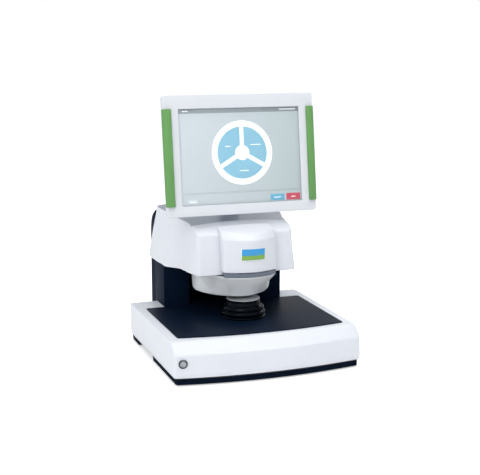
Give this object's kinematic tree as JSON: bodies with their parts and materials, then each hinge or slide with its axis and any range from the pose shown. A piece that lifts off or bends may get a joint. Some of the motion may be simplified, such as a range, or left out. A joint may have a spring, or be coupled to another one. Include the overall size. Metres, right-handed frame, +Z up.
{
  "type": "benchtop near-infrared analyser",
  "caption": "Benchtop optical sample analyser: bowed base with mat, optical head over a turning sample dish, and a tilting touch screen with side grips.",
  "frame": {"origin": "on the floor under the middle of the whole object, from the front of the bowed base to the back of the rear cover", "axes": "+X to the right as the user faces the screen, +Y to the back, +Z up"},
  "size_m": [0.373, 0.3944, 0.5177],
  "materials": {
    "white_shell": "fine-grained white moulding",
    "silver_paint": "satin silver paint",
    "navy_panel": "satin blue-black",
    "work_mat": "smooth blue-black",
    "gloss_black": "polished black",
    "black_plastic": "matt black",
    "foot_rubber": "matt black rubber",
    "dark_sheet": "dark powder coat",
    "steel": "brushed",
    "chrome": "polished",
    "aluminium": "turned",
    "green_grip": "soft-touch green",
    "badge_print": "printed blue over green, blank",
    "clear_glass": "polished",
    "display": "lit display",
    "circuit_board": "solder mask",
    "cast_metal": "grey casting",
    "belt_rubber": "toothed belt"
  },
  "bodies": {
    "base": {"base_housing": "white_shell", "base_plate": "dark_sheet", "front_skirt": "foot_rubber", "rear_foot_left": "foot_rubber", "rear_foot_right": "foot_rubber", "platform_mat": "work_mat", "button_bezel": "chrome", "button_switch": "black_plastic", "spindle_bearing": "cast_metal", "drive_motor": "black_plastic", "drive_belt": "belt_rubber", "power_supply": "aluminium", "computer_board": "circuit_board", "column_left_post": "navy_panel", "column_right_post": "navy_panel", "column_centre_panel": "black_plastic", "head_shell": "white_shell", "head_top_cover": "silver_paint", "nose_cover": "white_shell", "badge_plate": "badge_print", "trim_band": "silver_paint", "light_bowl": "silver_paint", "window_ring": "black_plastic", "optical_window": "clear_glass", "head_floor": "dark_sheet", "optics_chassis": "steel", "lamp_holder": "aluminium", "lamp_bulb": "clear_glass", "spectrometer_case": "cast_metal", "diffraction_grating": "chrome", "detector_array": "black_plastic", "monitor_mast": "white_shell", "rear_cover": "navy_panel", "usb_sockets": "steel", "lan_socket": "steel", "mains_inlet": "black_plastic", "fan_frame": "black_plastic", "rubber_pad_1": "foot_rubber", "rubber_pad_2": "foot_rubber", "rubber_pad_3": "foot_rubber", "rubber_pad_4": "foot_rubber"},
    "screen": {"monitor_bezel": "white_shell", "touch_glass": "clear_glass", "lcd_panel": "display", "monitor_rear_housing": "white_shell", "grip_left": "green_grip", "grip_right": "green_grip", "hinge_block": "steel", "tilt_pin": "steel", "friction_washer_left": "steel", "friction_washer_right": "steel"},
    "turntable": {"dish_carrier": "gloss_black", "sample_dish": "aluminium", "turntable_shaft": "steel", "turntable_pulley": "aluminium"},
    "motor_rotor": {"motor_pulley": "aluminium"},
    "power_key": {"power_button": "steel"},
    "fan": {"fan_rotor": "black_plastic"},
    "rocker": {"mains_rocker": "black_plastic"}
  },
  "joints": [
    {"name": "turntable_spin", "type": "hinge", "parent": "base", "child": "turntable", "pos_m": [0, -0.0258, 0.09], "axis": [0, 0, 1], "continuous": true},
    {"name": "motor_spin", "type": "hinge", "parent": "base", "child": "motor_rotor", "pos_m": [0.075, -0.0258, 0.045], "axis": [0, 0, 1], "continuous": true},
    {"name": "power_press", "type": "slide", "parent": "base", "child": "power_key", "axis": [0.1776, 0.9841, 0], "range_m": [0, 0.0015], "stiffness_N_per_m": 600},
    {"name": "screen_tilt", "type": "hinge", "parent": "base", "child": "screen", "pos_m": [0, 0.02876, 0.39598], "axis": [-1, 0, 0], "range_deg": [-8, 20]},
    {"name": "fan_spin", "type": "hinge", "parent": "base", "child": "fan", "pos_m": [-0.07, 0.185, 0.134], "axis": [0, 1, 0], "continuous": true},
    {"name": "rocker_tilt", "type": "hinge", "parent": "base", "child": "rocker", "pos_m": [0.088, 0.1912, 0.052], "axis": [-1, 0, 0], "range_deg": [0, 14]}
  ],
  "couplings": [
    {"joint": "motor_spin", "follows": "turntable_spin", "ratio": 2.5}
  ]
}
